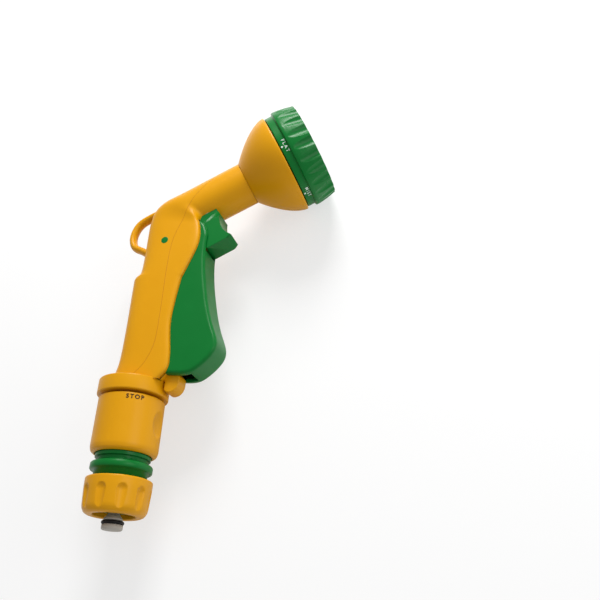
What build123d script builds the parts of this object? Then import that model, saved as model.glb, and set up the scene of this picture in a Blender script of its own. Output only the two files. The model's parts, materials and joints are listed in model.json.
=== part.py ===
"""Garden hose spray nozzle with its quick connector, one solid per real piece (mm).

Building frame: +Y runs up the hose axis, +X points forward to the lever, +Z out of one cheek.
Everything is symmetric about Z = 0. At the end the whole nozzle moves so that its box stands
on Z = 0 with its centre at X = Y = 0.
"""
from build123d import *
import math
import os

# ---- fits -------------------------------------------------------------------------------
RUN_GAP = 0.05            # radial clearance of a running fit
SEAT_GAP = 0.03           # radial clearance of a piece that is pressed or glued in
LOOSE_GAP = 0.3           # clearance between bodies that pass each other

# ---- spray head, heights along its own axis from the point where it meets the hose axis --
HEAD_Y = 169.2            # where the head axis meets the hose axis
HEAD_ANGLE = 26.1         # of the head axis above +X
NECK_R = 12.6
NECK_START = 8.0
NECK_END = 58.8
BELL_EDGE = 83.8
BELL_R = 29.1
BELL_WALL = 2.4
DIAL_GAP = 0.5            # between the bell and the dial
BAND_R = 28.0             # label band of the dial
BAND_LENGTH = 4.6
GRIP_R = 29.5             # fluted grip of the dial
RIM_R = 27.5
RIM_END = 102.3
FLUTES = 24
FLUTE_CUTTER_R = 4.0
FACE_R = 24.5
FACE_RECESS = 1.8
FACE_T = 2.5
MODE_R = 14.5             # pitch radius of the spray outlets
MODE_STEP = 60.0
MODES = 5
MODE_TUBE_R = 4.6
MODE_BORE_R = 3.0
DISC_T = 2.5              # rear disc of the dial
HUB_R = 6.0               # fixed hub that the dial turns on
PLATE_R = 26.0
PLATE_T = 3.0
PLATE_HUB_R = 23.2
SPIGOT_R = 7.95
SPIGOT_BORE = 5.0
SPIGOT_START = 52.0
SCREW_R = 1.6
SCREW_HEAD_R = 3.7
SLEEVE_BORE = 4.2         # screw well in the face plate
DETENT_R = 1.5
DETENT_PITCH_R = 20.5

# ---- valve, on an axis square to the neck ------------------------------------------------
VALVE_S = 30.5
CHAMBER_R = 6.5
CHAMBER_TOP_R = 5.0
CHAMBER_TOP = -8.5
SEAT_TOP = -2.5
SEAT_T = 2.2
SEAT_HOLE_R = 3.0
STEM_R = 1.5
WASHER_R = 4.6
WASHER_T = 2.0
GLAND_START = 9.0
GLAND_T = 3.2
CHANNEL_R = 2.6

# ---- handle ------------------------------------------------------------------------------
HANDLE_HALF = 10.5        # half thickness over the cheeks
CHEEK_T = 1.6
HANDLE_BASE = 72.0
GRIP_BACK = -7.3
UPPER_BACK = -2.8
LEDGE_Y = 136.0
LEDGE_RUN = 2.0
HOSE_BORE = 3.6
CORE_FRONT = 7.0
CORE_HALF = 6.7
SLOT_BACK = 4.2
PIN_X = 10.0              # lever hinge
PIN_Y = 154.9
PIN_R = 2.25
LOOP_T = 4.4
TAB_T = 9.0
TAB_TIP = 27.4

# ---- lever and pull ----------------------------------------------------------------------
LEVER_HALF = 8.6
LEVER_WALL = 1.6
LEVER_ROUND = 2.0         # rounding of the front edges
LEVER_SWING = 4.2         # degrees from rest to fully squeezed
NOTCH_END = 34.2
PULL_HALF = 6.6
PULL_PIN_R = 1.5
PULL_PIN_REACH = 21.0     # from the lever hinge to the cross pin

# ---- connector, heights along the hose axis ----------------------------------------------
COLLAR_R = 18.6
COLLAR_LOW = 64.6
NIPPLE_R = 7.4
NIPPLE_BORE = 4.6
NIPPLE_TIP = 40.0
GROOVE_LOW = 50.2
GROOVE_HIGH = 54.4
GROOVE_DEPTH = 0.9
SPIGOT_IN_HANDLE_R = 5.6
SPIGOT_TOP = 86.0
RING_WIRE = 0.62
SLEEVE_R = 17.2
SLEEVE_LOW = 34.1
SLEEVE_TOP = 63.2
SLEEVE_INNER = 14.3
SLEEVE_BAND = 11.5
SLEEVE_TRAVEL = 3.0
BODY_TUBE_R = 11.0
BODY_TUBE_TOP = 62.0
BODY_NECK_R = 12.7
BODY_RING_R = 14.0
FLANGE_R = 15.6
FLANGE_LOW = 26.0
FLANGE_T = 3.5
THREAD_R = 13.4
THREAD_LOW = 17.0
BARB_R = 6.0
BARB_END = 6.5
BARB_BORE = 4.9
STOP_BORE = 3.6
NUT_R = 16.7
NUT_LOW = 4.5
NUT_TOP = 22.0
NUT_MOUTH = 10.5
NUT_FLUTES = 8
NUT_FLUTE_R = 4.5
NUT_TRAVEL = 6.0
COLLET_BORE = 8.2
PLUNGER_TIP = -2.0
PLUNGER_R = 5.2
PLUNGER_STEM_R = 2.4
PLUNGER_HEAD_R = 4.4
PLUNGER_TRAVEL = 3.0

# ---- frames: local Z is the axis of each group -------------------------------------------
COS_HEAD = math.cos(math.radians(HEAD_ANGLE))
SIN_HEAD = math.sin(math.radians(HEAD_ANGLE))
HOSE = Location((0, 0, 0), (-90, 0, 0))
HEAD = Plane((0, HEAD_Y, 0), x_dir=(0, 0, 1), z_dir=(COS_HEAD, SIN_HEAD, 0)).location


def on_head(along, below, side=0.0):
    """The point at a height along the head axis and a distance below it."""
    return Vector(along * COS_HEAD + below * SIN_HEAD,
                  HEAD_Y + along * SIN_HEAD - below * COS_HEAD, side)


VALVE = Plane(on_head(VALVE_S, 0), x_dir=(0, 0, 1), z_dir=(SIN_HEAD, -COS_HEAD, 0)).location
PULL_PIN = Vector(PIN_X + PULL_PIN_REACH * COS_HEAD, PIN_Y + PULL_PIN_REACH * SIN_HEAD, 0)

# ---- places that follow from the sizes ---------------------------------------------------
DIAL_REAR = BELL_EDGE + DIAL_GAP
STEP_S = DIAL_REAR + BAND_LENGTH
DISC_FRONT = DIAL_REAR + DISC_T
FACE_FRONT = RIM_END - FACE_RECESS
FACE_REAR = FACE_FRONT - FACE_T
PLATE_FRONT = DIAL_REAR - 1.9
PLATE_REAR = PLATE_FRONT - PLATE_T
PLATE_HUB_REAR = PLATE_REAR - 3.4
HUB_TOP = DISC_FRONT + 0.4
WASHER_TOP = HUB_TOP + 1.0
SEAT_LOW = SEAT_TOP + SEAT_T
WASHER_START = SEAT_LOW + 0.1
WASHER_END = WASHER_START + WASHER_T
CHEEK_INNER = HANDLE_HALF - CHEEK_T
LEVER_INNER = LEVER_HALF - LEVER_WALL
LEVER_SLOT = math.radians(LEVER_SWING) * PULL_PIN_REACH


# ---- helpers -----------------------------------------------------------------------------
def turned(frame, points):
    """A solid turned about the frame's axis from (radius, height) corners."""
    outline = make_face(Polyline(*points, close=True))
    return frame * revolve(Plane.XZ * outline, Axis.Z)


def ring(frame, inner, outer, low, high):
    """A plain ring or, with no inner radius, a disc."""
    return turned(frame, [(inner, low), (outer, low), (outer, high), (inner, high)])


def rod(start, end, radius):
    """A round bar between two points."""
    run = Vector(*end) - Vector(*start)
    return Plane(start, z_dir=run) * extrude(Circle(radius), run.length)


def plate(edges, half):
    """An outline in the XY plane, grown to both sides of Z = 0."""
    return Pos(0, 0, -half) * extrude(make_face(edges), 2 * half)


def coil(frame, radius, wire, low, high, turns):
    """A compression spring that stands between two heights."""
    height = high - low - 2 * wire
    path = Helix(height / turns, height, radius)
    section = Plane(path @ 0, z_dir=path % 0) * Circle(wire)
    return frame * Pos(0, 0, low + wire) * sweep(section, path, is_frenet=True)


def around(frame, count, shape, step=None):
    """Copies of a shape at equal angles about the frame's axis."""
    angle = step if step else 360 / count
    return [frame * Rot(0, 0, angle * index) * shape for index in range(count)]


# ---- handle ------------------------------------------------------------------------------
def section_bar(back, low, high):
    """A bar with flat cheeks and a full round back."""
    centre = back + HANDLE_HALF
    flats = Pos(centre + 30, 0, (low + high) / 2) * Box(60, 2 * HANDLE_HALF, high - low)
    round_back = Pos(centre, 0, (low + high) / 2) * Cylinder(HANDLE_HALF, high - low)
    return HOSE * (flats + round_back)


def handle_outlines():
    """Side outlines of the lower grip and of the upper grip with the bend."""
    lower_front = Spline((22.0, HANDLE_BASE), (22.6, 82), (20.4, 108), (25.8, 137.4), (27.5, 142))
    lower = lower_front + Polyline(lower_front @ 1, (UPPER_BACK, LEDGE_Y + LEDGE_RUN),
                                   (GRIP_BACK, LEDGE_Y - LEDGE_RUN), (GRIP_BACK, HANDLE_BASE),
                                   lower_front @ 0)
    upper_front = Spline((25.8, 137.4), (30.7, 155.5), (27.0, 170.6), (24.6, 176))
    bend = Spline((12.4, 189.0), (3.5, 185.0), (UPPER_BACK, 174.0))
    upper = upper_front + Line(upper_front @ 1, bend @ 0) + bend
    upper = upper + Polyline(bend @ 1, (UPPER_BACK, LEDGE_Y), upper_front @ 0)
    return lower, upper


def hang_loop():
    """The flat hanging eye behind the bend."""
    outer = Spline((1.5, 182.0), (-9.5, 177.8), (-17.2, 166.5), (-11.0, 154.3), (1.5, 149.0))
    inner = Spline((1.5, 178.0), (-7.5, 173.6), (-13.2, 165.5), (-9.0, 158.0), (1.5, 153.6))
    loop = plate(outer + Line(outer @ 1, inner @ 1) + inner + Line(inner @ 0, outer @ 0), LOOP_T / 2)
    return chamfer(loop.edges().filter_by(Plane.XY), 0.8)


def handle_body():
    lower, upper = handle_outlines()
    neck = ring(HEAD, 0, NECK_R, NECK_START, NECK_END)
    body = plate(lower, 30) & section_bar(GRIP_BACK, HANDLE_BASE, LEDGE_Y + 20)
    body += plate(upper, 30) & section_bar(UPPER_BACK, LEDGE_Y - 20, 200)
    body += turned(HOSE, [(0, HANDLE_BASE), (12.8, HANDLE_BASE), (11.2, 75), (9.6, 80), (7.0, 88), (0, 88)])
    body += hang_loop()

    slot = Polyline((SLOT_BACK, HANDLE_BASE - 5), (60, HANDLE_BASE - 5), (60, 172), (SLOT_BACK, 172),
                    close=True)
    sides = plate(slot, CHEEK_INNER) - plate(slot, CORE_HALF)
    middle = Polyline((CORE_FRONT, HANDLE_BASE - 5), (60, HANDLE_BASE - 5), (60, 172), (14.5, 172),
                      (14.5, 147), (CORE_FRONT, 143), close=True)
    body -= (sides + plate(middle, CORE_HALF)) - neck
    body += neck

    tab = Polyline((CORE_FRONT - 1, HANDLE_BASE + 0.4), (19.2, HANDLE_BASE + 0.4), (19.2, 66.4),
                   (22.4, 66.0), (26.1, 68.0), (TAB_TIP, 71.2), (TAB_TIP, 75.0), (22.0, 80.0),
                   (CORE_FRONT - 1, 83.0), close=True)
    body += plate(tab, TAB_T / 2)

    body -= ring(HOSE, 0, SPIGOT_IN_HANDLE_R + RUN_GAP, HANDLE_BASE - 5, SPIGOT_TOP + 0.2)
    bend_low = Vector(0, 112, 0)
    bend_high = on_head(2.5, 3.0)
    body -= rod((0, SPIGOT_TOP - 1, 0), bend_low, HOSE_BORE)
    body -= Pos(*bend_low) * Sphere(HOSE_BORE)
    body -= rod(bend_low, bend_high, CHANNEL_R)
    body -= Pos(*bend_high) * Sphere(CHANNEL_R)
    body -= rod(bend_high, on_head(VALVE_S, 3.0), CHANNEL_R)
    body -= ring(VALVE, 0, CHAMBER_TOP_R, CHAMBER_TOP, 0)
    body -= ring(VALVE, 0, CHAMBER_R, SEAT_TOP, NECK_R + 3)
    body -= rod(on_head(VALVE_S, -5.4), on_head(NECK_END - 9, -5.4), CHANNEL_R)
    body -= ring(HEAD, 0, SPIGOT_R + RUN_GAP, NECK_END - 9.5, NECK_END + 1)
    body -= rod((PIN_X, PIN_Y, -20), (PIN_X, PIN_Y, 20), PIN_R + SEAT_GAP)
    return body


def inlet_nipple():
    low_groove = NIPPLE_TIP + 2.1
    high_groove = low_groove + 1.8
    ring_floor = NIPPLE_R - 1.2
    latch_floor = NIPPLE_R - GROOVE_DEPTH
    top = HANDLE_BASE
    return turned(HOSE, [
        (NIPPLE_BORE, NIPPLE_TIP), (NIPPLE_R - 0.6, NIPPLE_TIP), (NIPPLE_R, NIPPLE_TIP + 0.6),
        (NIPPLE_R, low_groove), (ring_floor, low_groove), (ring_floor, high_groove),
        (NIPPLE_R, high_groove), (NIPPLE_R, GROOVE_LOW), (latch_floor, GROOVE_LOW),
        (latch_floor, GROOVE_HIGH), (NIPPLE_R, GROOVE_HIGH), (NIPPLE_R, COLLAR_LOW),
        (COLLAR_R - 0.8, COLLAR_LOW), (COLLAR_R, COLLAR_LOW + 0.8), (COLLAR_R, top - 3.2),
        (COLLAR_R - 0.9, top - 1.4), (COLLAR_R - 2.4, top - 0.4), (COLLAR_R - 4.4, top),
        (SPIGOT_IN_HANDLE_R, top), (SPIGOT_IN_HANDLE_R, SPIGOT_TOP), (HOSE_BORE, SPIGOT_TOP),
        (HOSE_BORE, top), (NIPPLE_BORE, top - 2)])


def nipple_o_ring():
    return HOSE * Pos(0, 0, NIPPLE_TIP + 3.0) * Torus(NIPPLE_R - 1.2 + RING_WIRE, RING_WIRE)


def lever_pin():
    return rod((PIN_X, PIN_Y, -HANDLE_HALF + 0.5), (PIN_X, PIN_Y, HANDLE_HALF - 0.5), PIN_R)


# ---- valve -------------------------------------------------------------------------------
def valve_seat():
    return ring(VALVE, SEAT_HOLE_R, CHAMBER_R - SEAT_GAP, SEAT_TOP, SEAT_LOW)


def valve_washer():
    return ring(VALVE, STEM_R, WASHER_R, WASHER_START, WASHER_END)


def valve_stem():
    head_r = SEAT_HOLE_R - 0.8
    return turned(VALVE, [
        (0, WASHER_START - 1.2), (head_r, WASHER_START - 1.2), (head_r, WASHER_START),
        (STEM_R, WASHER_START), (STEM_R, WASHER_END), (WASHER_R - 1.4, WASHER_END),
        (WASHER_R - 1.4, WASHER_END + 1), (STEM_R, WASHER_END + 1), (STEM_R, 20), (0, 20)])


def valve_spring():
    return coil(VALVE, WASHER_R - 0.5, 0.4, WASHER_END + LEVER_SLOT + LOOSE_GAP, GLAND_START, 3)


def valve_gland():
    pocket = 3.1
    outer = CHAMBER_R - SEAT_GAP
    return turned(VALVE, [
        (pocket, GLAND_START), (outer, GLAND_START), (outer, GLAND_START + GLAND_T),
        (STEM_R + RUN_GAP, GLAND_START + GLAND_T), (STEM_R + RUN_GAP, GLAND_START + 1.6),
        (pocket, GLAND_START + 1.6)])


def stem_o_ring():
    return VALVE * Pos(0, 0, GLAND_START + 0.8) * Torus(STEM_R + 0.85, 0.72)


# ---- lever and pull ----------------------------------------------------------------------
def trigger_lever():
    front = Spline((34.5, 149.4), (35.1, 139), (38.2, 121), (44.4, 99.7), (47.2, 89), (42.6, 81.2),
                   (36.5, 76.2), (28.7, 74.5), tangents=[(0, -1), (-1, 0)])
    top = Spline((24.0, 167.2), (31.1, 166.0), (34.6, 158.5), (34.5, 149.4), tangents=[(1, 0.1), (0, -1)])
    rear = Polyline((28.7, 74.5), (15.8, 75.4), (15.8, 140), (PIN_X + 1, PIN_Y - 5.2), (PIN_X - 3.4, PIN_Y - 3.8),
                    (PIN_X - 5.2, PIN_Y), (PIN_X - 3.4, PIN_Y + 3.8), (PIN_X + 3, PIN_Y + 6.2), (24.0, 167.2))
    shell = plate(top + front + rear, LEVER_HALF)
    front_edges = shell.edges().filter_by(Plane.XY).filter_by(lambda edge: edge.length > 60)
    shell = fillet(front_edges, LEVER_ROUND)

    wall = 1.8
    hollow_front = Spline((34.5 - wall, 147.6), (35.1 - wall, 139), (38.2 - wall, 121),
                          (44.4 - wall, 99.7), (45.2, 89), (41.6, 82.8), (36, 78.2), (28.7, 76.4))
    hollow = hollow_front + Polyline(hollow_front @ 1, (0, 77.4), (0, 175), (60, 175), (60, 147.6),
                                     hollow_front @ 0)
    shell -= plate(hollow, LEVER_INNER)
    notch = Polyline((0, 70), (NOTCH_END, 70), (NOTCH_END, 80), (0, 80), close=True)
    shell -= plate(notch, TAB_T / 2 + LOOSE_GAP + 0.2)
    shell -= rod((PIN_X, PIN_Y, -20), (PIN_X, PIN_Y, 20), PIN_R + RUN_GAP)
    blind = LEVER_INNER + 0.9
    shell -= rod((PULL_PIN.X, PULL_PIN.Y, -blind), (PULL_PIN.X, PULL_PIN.Y, blind), PULL_PIN_R + 0.25)
    return shell


def finger_pull():
    roof = NECK_R + LOOSE_GAP
    left = on_head(22.5, roof)
    right = on_head(36.6, roof)
    scoop = Spline((39.9, 172.0), (40.9, 165.1), (43.6, 160.4), (48.1, 157.3))
    rest = Polyline((48.1, 157.3), (47.2, 155.6), (34.9, 149.4), (29.5, 152), (left.X, 159),
                    (left.X, left.Y), (right.X, right.Y), (39.9, 172.0))
    block = plate(scoop + rest, PULL_HALF)
    block = fillet(block.edges().filter_by(Plane.XY).filter_by(lambda edge: edge.center().X > 42), 1.2)
    block -= ring(VALVE, 0, STEM_R, 0, 20)
    block -= rod((PULL_PIN.X, PULL_PIN.Y, -20), (PULL_PIN.X, PULL_PIN.Y, 20), PULL_PIN_R)
    return block


def pull_cross_pin():
    reach = LEVER_INNER + 0.7
    return rod((PULL_PIN.X, PULL_PIN.Y, -reach), (PULL_PIN.X, PULL_PIN.Y, reach), PULL_PIN_R)


# ---- spray head --------------------------------------------------------------------------
def spray_bell():
    back = NECK_END + 0.2
    plate_seat = PLATE_R + RUN_GAP
    outer = ThreePointArc((NECK_R + 0.9, back + 1.6), (22.5, 69.0), (BELL_R, BELL_EDGE))
    inner = ThreePointArc((plate_seat - 0.6, PLATE_REAR), (20.2, 70.9), (NECK_R - 1.6, back + 2.6))
    start = Polyline((SPIGOT_R + RUN_GAP, back), (NECK_R + 0.2, back), outer @ 0)
    rim = Polyline(outer @ 1, (plate_seat, BELL_EDGE), (plate_seat, PLATE_REAR), inner @ 0)
    close = Polyline(inner @ 1, (SPIGOT_R + RUN_GAP, back + 2.6), (SPIGOT_R + RUN_GAP, back))
    outline = make_face(start + outer + rim + inner + close)
    return HEAD * revolve(Plane.XZ * outline, Axis.Z)


def port_plate():
    body = turned(HEAD, [
        (SPIGOT_BORE, SPIGOT_START), (SPIGOT_R, SPIGOT_START), (SPIGOT_R, 73.0), (17.0, 73.0),
        (PLATE_HUB_R, PLATE_HUB_REAR + 1.4), (PLATE_HUB_R, PLATE_REAR), (PLATE_R, PLATE_REAR),
        (PLATE_R, PLATE_FRONT), (HUB_R, PLATE_FRONT), (HUB_R, HUB_TOP), (SCREW_R, HUB_TOP),
        (SCREW_R, HUB_TOP - 7), (0, HUB_TOP - 7), (0, 77.4), (SPIGOT_BORE, 77.4)])
    body -= HEAD * Pos(MODE_R, 0, 0) * Pos(0, 0, 80) * Cylinder(4.2, 2 * (80 - 77.6))
    body -= HEAD * Pos(MODE_R, 0, 82) * Cylinder(4.2, 4)
    body -= HEAD * Pos(MODE_R, 0, 76.5) * Cylinder(2.0, 4)
    body -= HEAD * Pos(MODE_R / 2, 0, 75.6) * Rot(0, 90, 0) * Cylinder(1.7, MODE_R)
    body -= HEAD * Pos(-DETENT_PITCH_R, 0, PLATE_FRONT - 2) * Cylinder(DETENT_R + RUN_GAP, 4.4)
    return body


def port_seal():
    return HEAD * Pos(MODE_R, 0, 0) * ring(Location(), 2.0, 4.1, 80.8, DIAL_REAR - 0.1)


def port_spring():
    return coil(HEAD * Pos(MODE_R, 0, 0), 3.2, 0.35, 77.6, 80.8, 2.5)


def detent_pin():
    shoulder = DIAL_REAR - 0.1 - DETENT_R
    column = Pos(0, 0, shoulder - 1.0) * Cylinder(DETENT_R, 2.0)
    return HEAD * Pos(-DETENT_PITCH_R, 0, 0) * (column + Pos(0, 0, shoulder) * Sphere(DETENT_R))


def detent_spring():
    floor = PLATE_FRONT - 4.2
    return coil(HEAD * Pos(-DETENT_PITCH_R, 0, 0), DETENT_R - 0.35, 0.22, floor, DIAL_REAR - 3.65, 2)


def centre_screw():
    head_top = WASHER_TOP + 3.0
    shank = turned(HEAD, [(0, HUB_TOP - 6), (SCREW_R, HUB_TOP - 6), (SCREW_R, WASHER_TOP),
                          (SCREW_HEAD_R, WASHER_TOP), (SCREW_HEAD_R, head_top - 0.8),
                          (SCREW_HEAD_R - 0.8, head_top), (0, head_top)])
    drive = Box(4.4, 0.9, 2.4) + Box(0.9, 4.4, 2.4)
    return shank - HEAD * Pos(0, 0, head_top) * drive


def screw_washer():
    return ring(HEAD, SCREW_R + RUN_GAP, 8.4, HUB_TOP, WASHER_TOP)


def dial_o_ring():
    middle = (PLATE_FRONT + DIAL_REAR) / 2
    return HEAD * Pos(0, 0, middle) * Torus(HUB_R + 1.0, 0.88)


def selector_dial():
    outer_inner = FACE_R - 1.0
    body = turned(HEAD, [
        (HUB_R + RUN_GAP, DIAL_REAR), (BAND_R - 0.3, DIAL_REAR), (BAND_R, DIAL_REAR + 0.3),
        (BAND_R, STEP_S - 0.3), (GRIP_R - 0.4, STEP_S + 0.2), (GRIP_R, STEP_S + 1.1),
        (GRIP_R - 0.2, STEP_S + 4), (GRIP_R - 0.8, STEP_S + 8), (RIM_R, RIM_END - 0.8),
        (RIM_R - 0.8, RIM_END), (FACE_R + 1.3, RIM_END), (FACE_R + 0.1, FACE_FRONT + 0.5),
        (FACE_R, FACE_REAR), (outer_inner, FACE_REAR), (outer_inner, DISC_FRONT),
        (HUB_R + RUN_GAP, DISC_FRONT)])
    shallow = Vector(GRIP_R + FLUTE_CUTTER_R - 0.1, 0, STEP_S + 2.0)
    deep = Vector(RIM_R + FLUTE_CUTTER_R - 1.5, 0, RIM_END + 0.5)
    run = (deep - shallow).normalized()
    cutter = rod(shallow - run * 12, deep + run * 4, FLUTE_CUTTER_R)
    body -= around(HEAD, FLUTES, cutter)
    tube = ring(Location(), MODE_BORE_R, MODE_TUBE_R, DISC_FRONT, FACE_REAR)
    hole = Pos(0, 0, DISC_FRONT) * Cylinder(2.0, 2 * DISC_T + 1)
    body += around(HEAD, MODES, Pos(MODE_R, 0, 0) * tube, MODE_STEP)
    body -= around(HEAD, MODES, Pos(MODE_R, 0, 0) * hole, MODE_STEP)
    return body


def face_plate():
    well = SLEEVE_BORE + 1.3
    body = turned(HEAD, [
        (SLEEVE_BORE, WASHER_TOP + 1.2), (well, WASHER_TOP + 1.2), (well, FACE_REAR),
        (FACE_R - 0.05, FACE_REAR), (FACE_R - 0.05, FACE_FRONT), (SLEEVE_BORE, FACE_FRONT)])
    boss_r = 3.9
    heights = (1.4, 1.2, 1.0, 1.0, 1.0)
    for index, height in enumerate(heights):
        place = HEAD * Rot(0, 0, MODE_STEP * index) * Pos(MODE_R, 0, FACE_FRONT)
        body += place * Pos(0, 0, height / 2) * Cylinder(boss_r, height)
    jet, shower, flat, mist, cone = [
        HEAD * Rot(0, 0, MODE_STEP * index) * Pos(MODE_R, 0, FACE_FRONT) for index in range(MODES)]
    body -= jet * Cylinder(1.7, 12)
    body -= flat * Box(0.9, 5.4, 12)
    body -= mist * Cylinder(0.7, 12)
    body -= cone * Cylinder(1.0, 12)
    pin_hole = Cylinder(0.4, 12)
    body -= [shower * pin_hole] + around(shower, 7, Pos(2.3, 0, 0) * pin_hole)
    for row, count in enumerate((30, 34)):
        body -= around(HEAD, count, Pos(20.2 + 2.0 * row, 0, FACE_FRONT) * Cylinder(0.45, 12))
    return body


# ---- connector ---------------------------------------------------------------------------
def connector_body():
    neck_low = FLANGE_LOW + FLANGE_T
    socket = NIPPLE_R + 0.1
    socket_low = NIPPLE_TIP - 1.4
    body = turned(HOSE, [
        (BARB_BORE, BARB_END), (BARB_R, BARB_END), (BARB_R, THREAD_LOW + 7), (9.6, THREAD_LOW + 7),
        (9.6, THREAD_LOW), (THREAD_R - 0.6, THREAD_LOW), (THREAD_R, THREAD_LOW + 0.8),
        (THREAD_R, FLANGE_LOW), (FLANGE_R - 0.4, FLANGE_LOW), (FLANGE_R, FLANGE_LOW + 0.5),
        (FLANGE_R, neck_low - 0.5), (FLANGE_R - 0.4, neck_low), (BODY_NECK_R, neck_low),
        (BODY_NECK_R, neck_low + 2.6), (BODY_RING_R, neck_low + 2.8), (BODY_RING_R, neck_low + 4.6),
        (BODY_NECK_R, neck_low + 4.8), (BODY_NECK_R, SLEEVE_LOW + 2), (BODY_TUBE_R, SLEEVE_LOW + 2),
        (BODY_TUBE_R, BODY_TUBE_TOP - 0.8), (BODY_TUBE_R - 0.8, BODY_TUBE_TOP),
        (socket + 0.8, BODY_TUBE_TOP), (socket, BODY_TUBE_TOP - 0.8), (socket, socket_low),
        (BARB_BORE, socket_low), (BARB_BORE, 33.6), (STOP_BORE, 33.6), (STOP_BORE, 28),
        (BARB_BORE, 27)])
    window = Pos(BODY_TUBE_R, 0, (GROOVE_LOW + GROOVE_HIGH) / 2) * Box(10, 6.2, GROOVE_HIGH - GROOVE_LOW - 0.2)
    body -= around(HOSE, 3, window)
    return body


def latch_jaws():
    """Three loose jaws that drop into the nipple's groove."""
    low = GROOVE_LOW + 0.2
    high = GROOVE_HIGH - 0.2
    band = ring(Location(), NIPPLE_R - GROOVE_DEPTH + 0.15, SLEEVE_BAND - 0.2, low, high)
    jaw = band & (Pos(BODY_TUBE_R, 0, (low + high) / 2) * Box(12, 6.0, high - low))
    return Compound(children=around(HOSE, 3, jaw))


def sleeve_spring():
    low = SLEEVE_LOW + 2
    return coil(HOSE, BODY_TUBE_R + 1.2, 0.5, low, GROOVE_LOW - 1.4 - SLEEVE_TRAVEL - LOOSE_GAP, 4)


def release_sleeve():
    band_low = GROOVE_LOW - 1.4
    body = turned(HOSE, [
        (SLEEVE_INNER, SLEEVE_LOW), (SLEEVE_R - 2.2, SLEEVE_LOW), (SLEEVE_R - 0.8, SLEEVE_LOW + 0.8),
        (SLEEVE_R - 0.1, SLEEVE_LOW + 2.2), (SLEEVE_R, SLEEVE_LOW + 3.4), (SLEEVE_R, SLEEVE_TOP - 0.8),
        (SLEEVE_R - 0.8, SLEEVE_TOP), (SLEEVE_BAND + 1.0, SLEEVE_TOP), (SLEEVE_BAND, SLEEVE_TOP - 1),
        (SLEEVE_BAND, band_low), (SLEEVE_INNER, band_low)])
    hollow = Pos(SLEEVE_R + 15.5, 0, 50) * Sphere(17.0)
    body -= around(HOSE, 2, hollow)
    return body


def hose_nut():
    throat = 12.5
    bore = THREAD_R + 0.2
    outline = [
        (NUT_MOUTH, NUT_LOW + 0.6), (NUT_MOUTH + 0.6, NUT_LOW), (NUT_R - 3.4, NUT_LOW),
        (NUT_R - 1.8, NUT_LOW + 0.9), (NUT_R - 0.9, NUT_LOW + 2.6), (NUT_R - 0.6, NUT_LOW + 4),
        (NUT_R, NUT_TOP - 4), (NUT_R, NUT_TOP - 0.6), (NUT_R - 0.6, NUT_TOP), (bore, NUT_TOP),
        (bore, NUT_LOW + 9.5), (throat, NUT_LOW + 8.5), (NUT_MOUTH, NUT_LOW + 4.5)]
    body = turned(HOSE, outline)
    axis_r = NUT_R - 1.3 + NUT_FLUTE_R
    flute = Pos(axis_r, 0, NUT_LOW + 3) * Cylinder(NUT_FLUTE_R, 14)
    flute += Pos(axis_r, 0, NUT_LOW + 10) * Sphere(NUT_FLUTE_R)
    body -= around(HOSE, NUT_FLUTES, flute)
    return body


def grip_collet():
    """Ring of fingers that the nut squeezes on the hose."""
    low = NUT_LOW + 5.5
    high = THREAD_LOW - 0.3
    body = turned(HOSE, [(COLLET_BORE, low), (NUT_MOUTH + 0.35, low), (12.35, NUT_LOW + 8.5),
                         (12.35, high), (COLLET_BORE, high)])
    cut = Pos(12, 0, low + 1.5) * Box(12, 0.9, 5)
    return body - around(HOSE, 8, cut)


def stop_plunger():
    head_low = NIPPLE_TIP - 3.0
    return turned(HOSE, [
        (0, PLUNGER_TIP), (PLUNGER_R - 0.5, PLUNGER_TIP), (PLUNGER_R, PLUNGER_TIP + 0.5),
        (PLUNGER_R, 0.4), (PLUNGER_R - 1.3, 0.4), (PLUNGER_R - 1.3, 2.6), (PLUNGER_R - 0.4, 2.6),
        (PLUNGER_R - 0.5, 3.2), (PLUNGER_STEM_R + 0.6, 5.4), (PLUNGER_STEM_R, 7.0),
        (PLUNGER_STEM_R, head_low - 0.6), (PLUNGER_HEAD_R, head_low), (PLUNGER_HEAD_R, NIPPLE_TIP - 0.5),
        (0, NIPPLE_TIP - 0.5)])


def plunger_o_ring():
    return HOSE * Pos(0, 0, 1.5) * Torus(PLUNGER_R - 1.3 + 0.85, 0.85)


NODES = {
    "handle_body": handle_body, "inlet_nipple": inlet_nipple, "nipple_o_ring": nipple_o_ring,
    "lever_pin": lever_pin, "valve_seat": valve_seat, "valve_gland": valve_gland,
    "valve_spring": valve_spring, "stem_o_ring": stem_o_ring, "spray_bell": spray_bell,
    "port_plate": port_plate, "port_seal": port_seal, "port_spring": port_spring,
    "detent_pin": detent_pin, "detent_spring": detent_spring, "centre_screw": centre_screw,
    "screw_washer": screw_washer, "dial_o_ring": dial_o_ring,
    "trigger_lever": trigger_lever,
    "finger_pull": finger_pull, "pull_cross_pin": pull_cross_pin, "valve_stem": valve_stem,
    "valve_washer": valve_washer,
    "selector_dial": selector_dial, "face_plate": face_plate,
    "connector_body": connector_body, "latch_jaws": latch_jaws, "sleeve_spring": sleeve_spring,
    "release_sleeve": release_sleeve, "grip_collet": grip_collet, "hose_nut": hose_nut,
    "stop_plunger": stop_plunger, "plunger_o_ring": plunger_o_ring,
}

os.makedirs("parts", exist_ok=True)
shapes = {name: build() for name, build in NODES.items()}
whole = Compound(children=[Compound(shape.wrapped) for shape in shapes.values()]).bounding_box()
SHIFT = Vector(-(whole.min.X + whole.max.X) / 2, -(whole.min.Y + whole.max.Y) / 2, -whole.min.Z)
for name, shape in shapes.items():
    export_step(Location(SHIFT) * shape, f"parts/{name}.step")
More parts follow.
